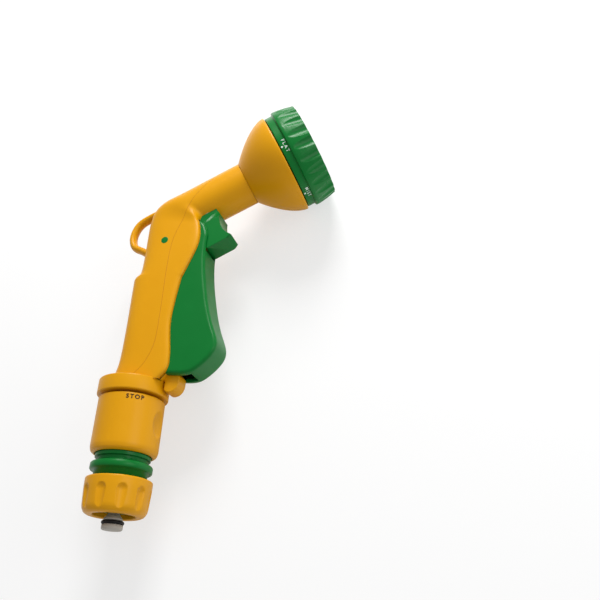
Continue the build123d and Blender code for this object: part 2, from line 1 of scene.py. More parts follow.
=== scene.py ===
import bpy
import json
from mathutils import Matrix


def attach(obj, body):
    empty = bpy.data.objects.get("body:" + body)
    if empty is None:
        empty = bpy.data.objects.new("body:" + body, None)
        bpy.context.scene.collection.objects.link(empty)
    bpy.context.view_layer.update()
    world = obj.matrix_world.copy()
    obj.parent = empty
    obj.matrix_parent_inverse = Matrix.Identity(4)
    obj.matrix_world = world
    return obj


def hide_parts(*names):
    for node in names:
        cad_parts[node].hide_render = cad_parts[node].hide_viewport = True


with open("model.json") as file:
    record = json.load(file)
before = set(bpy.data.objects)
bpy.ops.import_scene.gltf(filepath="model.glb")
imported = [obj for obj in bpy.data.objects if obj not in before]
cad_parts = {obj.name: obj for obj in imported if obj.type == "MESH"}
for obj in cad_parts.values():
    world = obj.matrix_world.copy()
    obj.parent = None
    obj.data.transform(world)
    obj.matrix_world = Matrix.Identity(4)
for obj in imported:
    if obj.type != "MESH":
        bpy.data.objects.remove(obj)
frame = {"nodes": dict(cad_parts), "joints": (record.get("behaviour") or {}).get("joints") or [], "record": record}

"""Looks of a garden hose spray nozzle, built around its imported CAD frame.

Lengths in the classes are millimetres in the frame of their own group: heights run along the hose
axis or along the spray head's axis. Axis turns them into metres in the row frame.
"""
import json
import logging
import math
from dataclasses import dataclass, field
from enum import Enum
from typing import Callable, Iterable, Optional, Sequence, Union

import bmesh
import bpy
import numpy as np
from mathutils import Matrix, Vector
from mathutils.bvhtree import BVHTree

LOG = logging.getLogger("spray_nozzle")
MM = 0.001
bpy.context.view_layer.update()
RadiusCut = Callable[[np.ndarray, np.ndarray, np.ndarray], np.ndarray]


# ---- places ------------------------------------------------------------------------------
@dataclass(frozen=True)
class Axis:
    """A line that a group of round pieces is turned about.

    Attributes:
        origin: the point at height 0, in millimetres in the row frame.
        along: unit vector of the axis.
        across: unit vector that angle 0 points along.
    """

    origin: np.ndarray
    along: np.ndarray
    across: np.ndarray

    @classmethod
    def of_joint(cls, name: str, height: float) -> "Axis":
        """The axis of a joint whose stated point lies at that height."""
        joint = next(item for item in frame["joints"] if item["name"] == name)
        along = np.array(joint["axis"], float)
        origin = np.array(joint["pos_m"], float) / MM - along * height
        return cls(origin, along, np.array([0.0, 0.0, 1.0]))

    def points(self, radius: np.ndarray, angle: np.ndarray, height: np.ndarray) -> np.ndarray:
        """Cylinder coordinates to metres in the row frame.

        Args:
            radius: distances from the axis.
            angle: radians from across, towards the lever side.
            height: heights along the axis.

        Returns:
            An array of points, one axis longer than the inputs.
        """
        side = np.cross(self.along, self.across)
        spoke = np.cos(angle)[..., None] * self.across + np.sin(angle)[..., None] * side
        return (self.origin + radius[..., None] * spoke + height[..., None] * self.along) * MM


HEAD = Axis.of_joint("dial_turn", 90.0)
HOSE = Axis.of_joint("connector_swivel", 50.0)


def model_point(forward: float, along_hose: float, across: float) -> np.ndarray:
    """Metres in the row frame of a point given from the foot of the hose axis."""
    return (HOSE.origin + np.array([forward, along_hose, across])) * MM


# ---- shader nodes ------------------------------------------------------------------------
class Socket:
    """An output socket on which Python's operators add Math nodes."""

    def __init__(self, graph: "Graph", output: bpy.types.NodeSocket) -> None:
        """Wraps an output of the graph."""
        self.graph = graph
        self.output = output

    def _math(self, operation: str, first: object, second: object) -> "Socket":
        """One Math node on two values or sockets."""
        return self.graph.node("ShaderNodeMath", {"operation": operation}, {0: first, 1: second})

    def __add__(self, other: object) -> "Socket":
        """Sum."""
        return self._math("ADD", self, other)

    def __radd__(self, other: object) -> "Socket":
        """Sum with a number on the left."""
        return self._math("ADD", other, self)

    def __sub__(self, other: object) -> "Socket":
        """Difference."""
        return self._math("SUBTRACT", self, other)

    def __rsub__(self, other: object) -> "Socket":
        """Difference from a number on the left."""
        return self._math("SUBTRACT", other, self)

    def __mul__(self, other: object) -> "Socket":
        """Product."""
        return self._math("MULTIPLY", self, other)

    def __rmul__(self, other: object) -> "Socket":
        """Product with a number on the left."""
        return self._math("MULTIPLY", other, self)


class Graph:
    """The node tree of one material."""

    def __init__(self, name: str) -> None:
        """Makes an empty material with that name."""
        self.material = bpy.data.materials.new(name)
        self.material.use_nodes = True
        self.tree = self.material.node_tree
        self.tree.nodes.clear()

    def node(self, kind: str, settings: Optional[dict] = None, inputs: Optional[dict] = None,
             output: object = 0) -> Socket:
        """Adds a node.

        Args:
            kind: the node's type.
            settings: properties of the node, set before its inputs.
            inputs: input names or numbers to a value or a Socket.
            output: name or number of the output to return.

        Returns:
            That output, wrapped.
        """
        made = self.tree.nodes.new(kind)
        for key, value in (settings or {}).items():
            setattr(made, key, value)
        for key, value in (inputs or {}).items():
            if isinstance(value, Socket):
                self.tree.links.new(value.output, made.inputs[key])
            else:
                made.inputs[key].default_value = value
        return Socket(self, made.outputs[output])

    def finish(self, shader: Socket) -> bpy.types.Material:
        """Links the shader to the material's output and returns the material."""
        end = self.tree.nodes.new("ShaderNodeOutputMaterial")
        self.tree.links.new(shader.output, end.inputs["Surface"])
        return self.material


def linear(red: int, green: int, blue: int) -> tuple[float, float, float, float]:
    """A display colour of 0 to 255 as a linear one."""
    def channel(value: float) -> float:
        """One channel of the display curve undone."""
        return value / 12.92 if value <= 0.04045 else ((value + 0.055) / 1.055) ** 2.4
    return (*(channel(value / 255) for value in (red, green, blue)), 1.0)


@dataclass(frozen=True)
class Moulded:
    """Injection-moulded plastic or rubber: a slow change of tone, fine grain and soft edges.

    Attributes:
        name: name of the material.
        colour: the lighter tone.
        shade: the deeper tone.
        roughness: middle of the roughness.
        grain: height of the fine grain in the bump, from 0 to 1.
        grain_size: size of a grain in millimetres.
        edge: radius of the softened edges in millimetres.
        coat: weight of the polished skin.
    """

    name: str
    colour: tuple
    shade: tuple
    roughness: float = 0.36
    grain: float = 0.12
    grain_size: float = 0.5
    edge: float = 0.45
    coat: float = 0.0
    metallic: float = 0.0

    def build(self) -> bpy.types.Material:
        """The finished material."""
        graph = Graph(self.name)
        place = graph.node("ShaderNodeTexCoord", None, None, "Object")
        cloud = graph.node("ShaderNodeTexNoise", None, {"Vector": place, "Scale": 38.0, "Detail": 3.0})
        flow = graph.node("ShaderNodeTexNoise", None, {"Vector": place, "Scale": 140.0, "Detail": 2.0})
        grain = graph.node("ShaderNodeTexNoise", None,
                           {"Vector": place, "Scale": 1 / (self.grain_size * MM), "Detail": 2.0})
        tone = graph.node("ShaderNodeMix", {"data_type": "RGBA"},
                          {0: cloud * 0.7 + flow * 0.3, 6: self.shade, 7: self.colour}, 2)
        soft = graph.node("ShaderNodeBevel", {"samples": 4}, {"Radius": self.edge * MM})
        bump = graph.node("ShaderNodeBump", None,
                          {"Strength": self.grain, "Distance": 0.2 * MM, "Height": grain, "Normal": soft})
        skin = graph.node("ShaderNodeBsdfPrincipled", None, {
            "Base Color": tone, "Roughness": flow * 0.12 + grain * 0.06 + (self.roughness - 0.09),
            "Metallic": self.metallic, "Coat Weight": self.coat, "Coat Roughness": 0.2,
            "Specular IOR Level": 0.22, "Normal": bump})
        return graph.finish(skin)


class Finish(Enum):
    """The finishes on the nozzle."""

    YELLOW = Moulded("yellow_plastic", linear(222, 158, 0), linear(215, 148, 0), 0.36, 0.10, 0.6)
    GREEN = Moulded("green_plastic", linear(0, 116, 44), linear(0, 106, 38), 0.32, 0.10, 0.5)
    FACE = Moulded("face_green_plastic", linear(14, 96, 50), linear(8, 84, 42), 0.55, 0.55, 0.55, 0.25)
    # Darker copy of the yellow for the parting line: painted shade standing in for the shadow in the crease along
    # it.
    PAINTED_SHADE_LINE = Moulded("parting_line_painted_shade", linear(196, 128, 0), linear(188, 120, 0), 0.45, 0.05, 0.6, 0.1)
    GREY = Moulded("grey_plastic", linear(186, 180, 170), linear(170, 164, 154), 0.42, 0.08, 0.5, 0.3)
    RUBBER = Moulded("black_rubber", linear(26, 24, 24), linear(18, 17, 17), 0.5, 0.1, 0.4, 0.2)
    STEEL = Moulded("spring_steel", linear(190, 190, 194), linear(170, 170, 175), 0.3, 0.05, 0.2, 0.1,
                    0.0, 1.0)
    BRASS = Moulded("turned_brass", linear(200, 160, 86), linear(186, 144, 70), 0.3, 0.05, 0.2, 0.1,
                    0.0, 1.0)
    DARK_INK = Moulded("dark_ink", linear(48, 8, 16), linear(38, 6, 12), 0.5, 0.05, 0.2, 0.02)
    WHITE_INK = Moulded("white_ink", linear(232, 240, 234), linear(214, 226, 218), 0.5, 0.05, 0.2, 0.02)


class Workshop:
    """Keeps one material for each finish and dresses pieces in it."""

    def __init__(self) -> None:
        """Starts with no material made."""
        self.made: dict[Finish, bpy.types.Material] = {}

    def dress(self, piece: bpy.types.Object, finish: Finish) -> None:
        """Gives the whole piece one finish."""
        if finish not in self.made:
            self.made[finish] = finish.value.build()
        piece.data.materials.clear()
        piece.data.materials.append(self.made[finish])

    def install(self, piece: bpy.types.Object, finish: Finish, body: str, slot: str,
                nodes: Sequence[str] = ()) -> None:
        """Dresses a new piece, fixes it to its body and lets it stand for CAD nodes."""
        self.dress(piece, finish)
        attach(piece, body)
        if nodes:
            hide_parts(*nodes)
        LOG.info("%s rides on %s", piece.name, body)


# ---- surfaces ----------------------------------------------------------------------------
def signed_volume(points: np.ndarray, quads: np.ndarray) -> float:
    """Volume inside quads, positive when they face outwards: a sixth of each triangle's triple product."""
    first, second, third, fourth = (points[quads[:, column]] for column in range(4))
    triple = np.einsum("ij,ij->i", first, np.cross(second, third))
    return float((triple + np.einsum("ij,ij->i", first, np.cross(third, fourth))).sum()) / 6


def grid_object(name: str, points: np.ndarray) -> bpy.types.Object:
    """A closed surface from a grid that wraps round both ways.

    Args:
        name: name of the piece.
        points: metres, shaped (rows, columns, 3). Row and column neighbours become quads, and the
            last row and column join the first.

    Returns:
        The piece, smooth shaded, with its faces outwards.
    """
    rows, columns = points.shape[:2]
    index = np.arange(rows * columns).reshape(rows, columns)
    below = np.roll(index, -1, axis=0)
    quads = np.stack([index, np.roll(index, -1, 1), np.roll(below, -1, 1), below], -1).reshape(-1, 4)
    flat = points.reshape(-1, 3)
    if signed_volume(flat - flat.mean(0), quads) < 0:
        quads = quads[:, ::-1]
    mesh = bpy.data.meshes.new(name)
    mesh.from_pydata(flat, [], quads)
    mesh.shade_smooth()
    mesh.set_sharp_from_angle(angle=math.radians(38))
    piece = bpy.data.objects.new(name, mesh)
    bpy.context.scene.collection.objects.link(piece)
    return piece


def rounded(corners: Sequence[tuple[float, float]], radius: float, steps: int = 5) -> np.ndarray:
    """A closed outline with each corner cut by a quadratic curve.

    Each curve starts and ends at most radius, or 0.4 of the shorter side, from its corner, and is
    start (1-t)^2 + corner 2t(1-t) + end t^2.
    """
    corner = np.array(corners, float)
    before, after = np.roll(corner, 1, 0) - corner, np.roll(corner, -1, 0) - corner
    lengths = np.stack([np.linalg.norm(before, axis=1), np.linalg.norm(after, axis=1)])
    cut = np.minimum(radius, 0.4 * lengths.min(0))[:, None]
    start = corner + before / lengths[0][:, None] * cut
    end = corner + after / lengths[1][:, None] * cut
    t = np.linspace(0, 1, steps)[None, :, None]
    curve = start[:, None] * (1 - t) ** 2 + corner[:, None] * 2 * t * (1 - t) + end[:, None] * t ** 2
    return curve.reshape(-1, 2)


def filled(outline: np.ndarray, step: float) -> np.ndarray:
    """The outline with points added on its long sides, at most step apart."""
    after = np.roll(outline, -1, 0)
    counts = np.maximum(1, np.ceil(np.linalg.norm(after - outline, axis=1) / step).astype(int))
    start = np.repeat(np.arange(len(outline)), counts)
    share = (np.arange(counts.sum()) - np.repeat(np.cumsum(counts) - counts, counts)) / counts[start]
    return outline[start] + (after - outline)[start] * share[:, None]


def turned_piece(name: str, axis: Axis, outline: np.ndarray, columns: int,
                 cut: Optional[RadiusCut] = None) -> bpy.types.Object:
    """An outline of (radius, height) turned about an axis, with its radius reduced by a cut.

    Args:
        name: name of the piece.
        axis: the axis it is turned about.
        outline: closed outline of radius and height.
        columns: points round the axis.
        cut: takes angle, height and radius and gives the new radius.
    """
    angle = np.linspace(0, 2 * np.pi, columns, endpoint=False)[None, :]
    radius = np.repeat(outline[:, :1], columns, 1)
    height = np.repeat(outline[:, 1:], columns, 1)
    angle = np.repeat(angle, len(outline), 0)
    if cut is not None:
        radius = cut(angle, height, radius)
    return grid_object(name, axis.points(radius, angle, height))


def from_nearest(angle: np.ndarray, count: int, start: float = 0.0) -> np.ndarray:
    """Angle from the nearest of count equally spaced spokes."""
    pitch = 2 * np.pi / count
    return (angle - start + pitch / 2) % pitch - pitch / 2


def leaning_bar_cut(angle: np.ndarray, radius: np.ndarray, bar_axis: np.ndarray, bar_radius: float,
                    floor: float) -> np.ndarray:
    """Radius left by round bars that lie along the axis outside the piece.

    The near wall of a bar at distance a and angle t is a cos t - sqrt(b^2 - (a sin t)^2). Radii
    under floor belong to inner walls and stay.
    """
    inside = bar_radius ** 2 - (bar_axis * np.sin(angle)) ** 2
    wall = bar_axis * np.cos(angle) - np.sqrt(np.maximum(inside, 0))
    return np.where((inside > 0) & (radius > floor), np.minimum(radius, np.maximum(wall, floor)), radius)


def to_row(flat: np.ndarray, level: np.ndarray) -> np.ndarray:
    """Side-view points with their distance from the middle plane, as metres in the row frame."""
    points = np.concatenate([flat, level[..., None]], -1)
    return (HOSE.origin + points) * MM


def smooth_path(knots: np.ndarray, station: np.ndarray) -> np.ndarray:
    """A Catmull-Rom curve through knots.

    Args:
        knots: points, one each at stations 0, 1, 2 and so on.
        station: where to read the curve.
    """
    slope = np.gradient(knots, axis=0)
    left = np.clip(np.floor(station).astype(int), 0, len(knots) - 2)
    t = (station - left)[:, None]
    start, end = knots[left], knots[left + 1]
    return ((2 * t ** 3 - 3 * t ** 2 + 1) * start + (t ** 3 - 2 * t ** 2 + t) * slope[left]
            + (3 * t ** 2 - 2 * t ** 3) * end + (t ** 3 - t ** 2) * slope[left + 1])


def strip_faces(first: np.ndarray, second: np.ndarray) -> np.ndarray:
    """Quads between two closed rings of point numbers."""
    return np.stack([first, np.roll(first, -1), np.roll(second, -1), second], -1)


def mesh_object(name: str, points: np.ndarray, quads: np.ndarray) -> bpy.types.Object:
    """A smooth piece from quads, merged where they meet and with its faces outwards."""
    mesh = bpy.data.meshes.new(name)
    mesh.from_pydata(points, [], quads)
    work = bmesh.new()
    work.from_mesh(mesh)
    bmesh.ops.remove_doubles(work, verts=work.verts, dist=0.001 * MM)
    bmesh.ops.dissolve_degenerate(work, edges=work.edges, dist=0.0005 * MM)
    bmesh.ops.recalc_face_normals(work, faces=work.faces)
    if work.calc_volume(signed=True) < 0:
        bmesh.ops.reverse_faces(work, faces=work.faces)
    work.to_mesh(mesh)
    work.free()
    mesh.shade_smooth()
    mesh.set_sharp_from_angle(angle=math.radians(42))
    piece = bpy.data.objects.new(name, mesh)
    bpy.context.scene.collection.objects.link(piece)
    return piece


def lined_shell(name: str, outer: np.ndarray, inner: np.ndarray) -> bpy.types.Object:
    """A tube of rings with a lining of as many rings inside it, closed at both ends.

    Args:
        name: name of the piece.
        outer: outer rings, shaped (rows, columns, 3).
        inner: lining, of the same shape, whose columns lie across from the outer ones.
    """
    rows, columns = outer.shape[:2]
    points = np.concatenate([outer.reshape(-1, 3), inner.reshape(-1, 3)])
    index = np.arange(rows * columns).reshape(rows, columns)
    lining = index + rows * columns
    quads = [strip_faces(index[row], index[row + 1]) for row in range(rows - 1)]
    quads += [strip_faces(lining[row + 1], lining[row]) for row in range(rows - 1)]
    quads += [strip_faces(lining[0], index[0]), strip_faces(index[-1], lining[-1])]
    return mesh_object(name, points, np.concatenate(quads))


def carried(name: str, path: np.ndarray, across: float, thick: float,
            level: Union[float, np.ndarray]) -> bpy.types.Object:
    """An oval carried along a side-view path, with pinched ends.

    Args:
        name: name of the piece.
        path: side-view points.
        across: half width of the oval in the side view.
        thick: half thickness square to it.
        level: height of the oval's middle over the middle plane, one or a column of them.
    """
    along = np.gradient(path, axis=0)
    along /= np.linalg.norm(along, axis=1)[:, None]
    normal = np.stack([-along[:, 1], along[:, 0]], 1)
    turn = np.linspace(0, 2 * np.pi, 20, endpoint=False)
    size = np.ones(len(path))
    size[[0, -1]] = 1e-3
    flat = path[:, None] + normal[:, None] * (across * size[:, None] * np.cos(turn))[..., None]
    rings = to_row(flat, level + thick * size[:, None] * np.sin(turn)[None, :])
    index = np.arange(rings.shape[0] * rings.shape[1]).reshape(rings.shape[:2])
    quads = np.concatenate([strip_faces(index[row], index[row + 1]) for row in range(len(path) - 1)])
    return mesh_object(name, rings.reshape(-1, 3), quads)


def slab(name: str, outline: np.ndarray, half: float, edge: float) -> bpy.types.Object:
    """A flat plate on both sides of the middle plane, with a quarter-round edge.

    The outline shrinks towards its middle by edge (1 - cos a) as the level rises by edge sin a.
    """
    middle = outline.mean(0)
    reach = np.linalg.norm(outline - middle, axis=1)[:, None]
    turn = np.linspace(0, np.pi / 2, 6)
    inset = np.concatenate([[1e9], edge * (1 - np.cos(turn))[::-1], edge * (1 - np.cos(turn)), [1e9]])
    level = np.concatenate([[half], half - edge + (edge * np.sin(turn))[::-1],
                            edge - half - edge * np.sin(turn), [-half]])
    scale = np.clip(1 - inset[:, None, None] / reach, 1e-4, 1)
    rings = to_row(middle + (outline - middle) * scale, np.repeat(level[:, None], len(outline), 1))
    index = np.arange(rings.shape[0] * rings.shape[1]).reshape(rings.shape[:2])
    quads = np.concatenate([strip_faces(index[row], index[row + 1]) for row in range(len(level) - 1)])
    return mesh_object(name, rings.reshape(-1, 3), quads)


def joined(name: str, pieces: Sequence[bpy.types.Object]) -> bpy.types.Object:
    """Several pieces as one."""
    work = bmesh.new()
    for piece in pieces:
        work.from_mesh(piece.data)
        bpy.data.objects.remove(piece)
    mesh = bpy.data.meshes.new(name)
    work.to_mesh(mesh)
    work.free()
    mesh.shade_smooth()
    whole = bpy.data.objects.new(name, mesh)
    bpy.context.scene.collection.objects.link(whole)
    return whole


# ---- sub-assemblies ----------------------------------------------------------------------
@dataclass
class SprayHead:
    """The yellow bell and the green dial with its leaf-shaped flutes."""

    shop: Workshop
    bell_start: float = 59.0
    bell_edge: float = 83.8
    bell_radius: float = 29.1
    neck_radius: float = 12.6
    dial_rear: float = 84.3
    band_radius: float = 28.0
    step: float = 88.9
    grip_radius: float = 29.5
    rim_radius: float = 27.5
    rim_end: float = 102.3
    face_rear: float = 98.0
    face_front: float = 100.5
    flutes: int = 24
    bar: float = 4.0

    def bell(self) -> bpy.types.Object:
        """The bell: R = neck + (edge - neck) (1 - (1 - x)^1.63), x from 0 to 1 along it, with a wall of 2.4."""
        share = np.linspace(0.0, 1.0, 44) ** 1.3
        length = self.bell_edge - 0.5 - self.bell_start
        swell = 1 - (1 - share) ** 1.63
        outer = np.stack([self.neck_radius + 0.2 + (self.bell_radius - self.neck_radius - 0.2) * swell,
                          self.bell_start + 0.2 + length * share], 1)
        lip = np.array([[self.bell_radius - 0.2, self.bell_edge], [26.4, self.bell_edge],
                        [26.1, self.bell_edge - 0.3], [26.1, 79.5]])
        inner = outer[6:36][::-1] + np.array([-2.3, 1.2])
        throat = np.array([[8.0, self.bell_start + 4.0], [8.0, self.bell_start], [12.5, self.bell_start]])
        return turned_piece("spray_bell_skin", HEAD, np.concatenate([outer, lip, inner, throat]), 192)

    def dial(self) -> bpy.types.Object:
        """The dial: a label band, a step and a grip with flutes that run out in a point."""
        outline = rounded([
            (6.05, self.dial_rear), (self.band_radius, self.dial_rear), (self.band_radius, self.step - 0.1),
            (self.grip_radius - 0.15, self.step + 0.1), (self.grip_radius, self.step + 1.6),
            (self.grip_radius - 0.2, self.step + 4), (self.grip_radius - 0.8, self.step + 8),
            (self.rim_radius, self.rim_end), (25.8, self.rim_end), (24.7, self.face_front + 0.4),
            (24.5, self.face_rear), (23.5, self.face_rear), (23.5, 86.8), (6.05, 86.8)], 0.5)

        def leaf(angle: np.ndarray, height: np.ndarray, radius: np.ndarray) -> np.ndarray:
            """A bar that leans in towards the face leaves a pointed leaf."""
            start = self.grip_radius + self.bar - 0.1
            end = self.rim_radius + self.bar - 1.5
            share = (height - self.step - 2.0) / (self.rim_end + 0.5 - self.step - 2.0)
            bar_axis = start + (end - start) * share
            spoke = from_nearest(angle, self.flutes)
            cut = leaning_bar_cut(spoke, radius, bar_axis, self.bar, 25.9)
            return np.where(height > self.step + 0.3, cut, radius)

        return turned_piece("dial_skin", HEAD, filled(outline, 0.5), self.flutes * 30, leaf)

    def build(self) -> None:
        """Makes and installs both pieces."""
        self.shop.install(self.bell(), Finish.YELLOW, "handle", "yellow_plastic", ["spray_bell"])
        self.shop.install(self.dial(), Finish.GREEN, "dial", "green_plastic", ["selector_dial"])


@dataclass
class Connector:
    """The collar on the handle, the release sleeve and the hose nut."""

    shop: Workshop
    collar_radius: float = 18.55
    collar_low: float = 64.65
    collar_top: float = 72.6
    sleeve_radius: float = 17.2
    sleeve_low: float = 34.1
    sleeve_top: float = 63.2
    nut_radius: float = 16.7
    nut_low: float = 4.5
    nut_top: float = 22.0
    nut_flutes: int = 10
    dimple_height: float = 50.0
    dimple_reach: float = 17.0

    def sleeve(self) -> bpy.types.Object:
        """The sleeve, with a shallow round thumb hollow on each side, cut by a ball."""
        outline = rounded([
            (14.3, self.sleeve_low), (15.0, self.sleeve_low), (16.6, self.sleeve_low + 1.0),
            (self.sleeve_radius, self.sleeve_low + 3.2), (self.sleeve_radius, self.sleeve_top),
            (12.4, self.sleeve_top), (11.5, self.sleeve_top - 1.0), (11.5, 48.8), (14.3, 48.8)], 0.9)
        ball_place = self.sleeve_radius + self.dimple_reach - 1.5

        def thumb(angle: np.ndarray, height: np.ndarray, radius: np.ndarray) -> np.ndarray:
            """Near wall of a ball: a cos t - sqrt(b^2 - (a sin t)^2 - (h - h0)^2)."""
            spoke = from_nearest(angle, 2, np.pi / 2)
            inside = (self.dimple_reach ** 2 - (ball_place * np.sin(spoke)) ** 2
                      - (height - self.dimple_height) ** 2)
            wall = ball_place * np.cos(spoke) - np.sqrt(np.maximum(inside, 0))
            return np.where((inside > 0) & (radius > 15), np.minimum(radius, wall), radius)

        return turned_piece("sleeve_skin", HOSE, filled(outline, 0.5), 360, thumb)

    def nut(self) -> bpy.types.Object:
        """The nut, with flutes that are open at the hose end and end in a round top."""
        low, top, radius_out = self.nut_low, self.nut_top, self.nut_radius
        outline = rounded([
            (10.5, low + 0.3), (11.2, low), (13.3, low), (14.9, low + 0.9), (15.8, low + 2.6),
            (16.1, low + 4.0), (radius_out, top - 4), (radius_out, top), (13.7, top), (13.7, low + 9.5),
            (12.5, low + 8.5), (10.5, low + 4.5)], 0.8)
        bar, depth, ball_height = 4.2, 1.3, low + 10.5
        bar_axis = radius_out - depth + bar

        def flute(angle: np.ndarray, height: np.ndarray, radius: np.ndarray) -> np.ndarray:
            """A bar along the nut that ends in a ball."""
            spoke = from_nearest(angle, self.nut_flutes)
            above = np.maximum(height - ball_height, 0)
            inside = bar ** 2 - (bar_axis * np.sin(spoke)) ** 2 - above ** 2
            wall = bar_axis * np.cos(spoke) - np.sqrt(np.maximum(inside, 0))
            return np.where((inside > 0) & (radius > 14.2), np.minimum(radius, np.maximum(wall, 14.2)), radius)

        return turned_piece("nut_skin", HOSE, filled(outline, 0.4), self.nut_flutes * 48, flute)

    def collar(self) -> bpy.types.Object:
        """The handle's collar, a straight band with small roundings, and the nipple under it."""
        edge, low, top = self.collar_radius, self.collar_low, self.collar_top
        outline = rounded([
            (4.6, 40.0), (7.4, 40.0), (7.4, 42.1), (6.2, 42.1), (6.2, 43.9), (7.4, 43.9), (7.4, 50.2),
            (6.5, 50.2), (6.5, 54.4), (7.4, 54.4), (7.4, low), (edge, low), (edge, top), (4.6, top)], 0.7)
        return turned_piece("collar_skin", HOSE, outline, 192)

    def build(self) -> None:
        """Makes and installs the pieces."""
        self.shop.install(self.collar(), Finish.YELLOW, "handle", "yellow_plastic", ["inlet_nipple"])
        self.shop.install(self.sleeve(), Finish.YELLOW, "sleeve", "yellow_plastic", ["release_sleeve"])
        self.shop.install(self.nut(), Finish.YELLOW, "nut", "yellow_plastic", ["hose_nut"])


@dataclass
class HandleShell:
    """The yellow handle: grip, cheeks round the lever, bend and neck in one surface, and its trim.

    Sections run straight from a point of the front guide to the matching point of the back guide.
    """

    shop: Workshop
    half: float = 10.5
    slot_half: float = 8.9
    slot_floor: float = 4.0
    neck_radius: float = 12.6
    neck_end: float = 58.9
    rows: int = 150
    columns: int = 96
    front: tuple = ((18.0, 72.0), (22.2, 77.5), (22.4, 86.0), (20.3, 105.0), (22.6, 128.0),
                    (23.9, 132.5), (25.7, 137.4), (29.7, 148.5), (30.8, 156.0), (29.9, 163.5), (28.4, 167.6))
    back: tuple = ((-11.6, 72.0), (-9.9, 78.0), (-8.6, 86.0), (-8.1, 105.0), (-8.3, 128.0),
                   (-8.0, 133.2), (-4.9, 136.8), (-4.3, 148.5), (-4.3, 159.0), (-4.0, 170.0), (-1.9, 178.5))
    neck_stations: tuple = ((26.5, 10.5), (32.0, 22.0), (40.0, 35.0), (50.0, 48.0))
    pin: tuple = (10.0, 154.9)
    pin_radius: float = 2.2
    crease: tuple = ((24.4, 179.0), (20.6, 170.3), (15.2, 155.0), (13.9, 137.0), (14.0, 111.0),
                     (13.3, 92.0), (9.2, 81.0), (3.6, 74.4))
    crease_top: tuple = ((36.5, 194.5), (33.0, 190.6), (29.0, 185.4))
    eye: tuple = ((2.0, 181.4), (-6.6, 177.9), (-13.4, 173.2), (-16.2, 165.6), (-14.4, 158.6),
                  (-8.4, 155.0), (-4.0, 152.4), (1.0, 150.6))
    eye_size: tuple = (2.1, 3.0)
    tab: tuple = ((14.0, 84.0), (14.0, 73.0), (19.4, 72.4), (19.4, 67.2), (20.8, 66.2), (22.6, 66.0),
                  (24.8, 66.7), (26.3, 68.2), (27.3, 70.6), (27.4, 75.0), (22.0, 81.0))
    tab_half: float = 4.5

    def guides(self) -> tuple[np.ndarray, np.ndarray]:
        """The front and the back guide, with the neck's two sides at their ends."""
        along, above = HEAD.along[:2], np.array([-HEAD.along[1], HEAD.along[0]])
        start = (HEAD.origin - HOSE.origin)[:2]
        under = [start + along * low - above * self.neck_radius for low, _ in self.neck_stations]
        over = [start + along * high + above * self.neck_radius for _, high in self.neck_stations]
        end = start + along * self.neck_end
        front = np.array([*self.front, *under, end - above * self.neck_radius])
        back = np.array([*self.back, *over, end + above * self.neck_radius])
        return front, back

    def shell(self) -> bpy.types.Object:
        """The handle's surface.

        Each section is a superellipse, w |cos a|^(2/n) across and h |sin a|^(2/n) thick, boxy at the
        front and rounder at the back, that turns into the neck's circle. A slot runs in from the
        front between the cheeks, and closes where the neck starts.
        """
        front, back = self.guides()
        station = np.linspace(0, len(front) - 1, self.rows)
        near, far = smooth_path(front, station), smooth_path(back, station)
        knots = np.arange(len(front))
        neck = np.clip((station - knots[-7]) / 2.6, 0, 1)
        neck = neck * neck * (3 - 2 * neck)
        slot = np.clip((knots[-6] + 0.6 - station) / 0.5, 0, 1)[:, None]

        turn = np.linspace(0.0, np.pi, self.columns)[None, :]
        turn = turn - 0.12 * np.sin(2 * turn) * (1 - neck[:, None])
        reach, rise = np.cos(turn), np.sin(turn)
        blunt = np.where(reach > 0, 11.0, 3.2)
        power = 2 / (blunt + (2 - blunt) * neck[:, None])
        reach = np.sign(reach) * np.abs(reach) ** power
        thick = np.maximum(rise, 0) ** power
        half = (self.half + (self.neck_radius - self.half) * neck)[:, None]
        middle, arm = (near + far) / 2, (near - far) / 2
        shoulder = middle[:, None] + arm[:, None] * reach[..., None]

        width = 2 * np.linalg.norm(arm, axis=1)[:, None]
        depth = np.clip(near[:, :1] - self.slot_floor, 0, None) / width * slot
        ramp = np.clip(np.linspace(0, 3, self.columns)[None, :], 0, 3)
        inward = depth * np.clip(ramp, 0, 1)
        inner = near[:, None] - 2 * arm[:, None] * inward[..., None]
        inner_half = self.slot_half * slot * np.clip((3 - ramp) / 2, 0, 1)
        upper = np.concatenate([shoulder, inner[:, ::-1]], 1)
        lift = np.concatenate([thick * half, inner_half[:, ::-1]], 1)
        ring = np.concatenate([upper[:, :self.columns], upper[:, self.columns - 2:0:-1]], 1)
        ring_lift = np.concatenate([lift[:, :self.columns], -lift[:, self.columns - 2:0:-1]], 1)
        hollow = np.concatenate([inner, inner[:, -2:0:-1]], 1)
        hollow_lift = np.concatenate([inner_half, -inner_half[:, -2:0:-1]], 1)
        return lined_shell("handle_skin", to_row(ring, ring_lift), to_row(hollow, hollow_lift))

    def hanging_eye(self) -> bpy.types.Object:
        """The eye behind the bend: an oval section carried along a smooth path."""
        path = smooth_path(np.array(self.eye), np.linspace(0, len(self.eye) - 1, 72))
        return carried("hanging_eye_skin", path, *self.eye_size, 0.0)

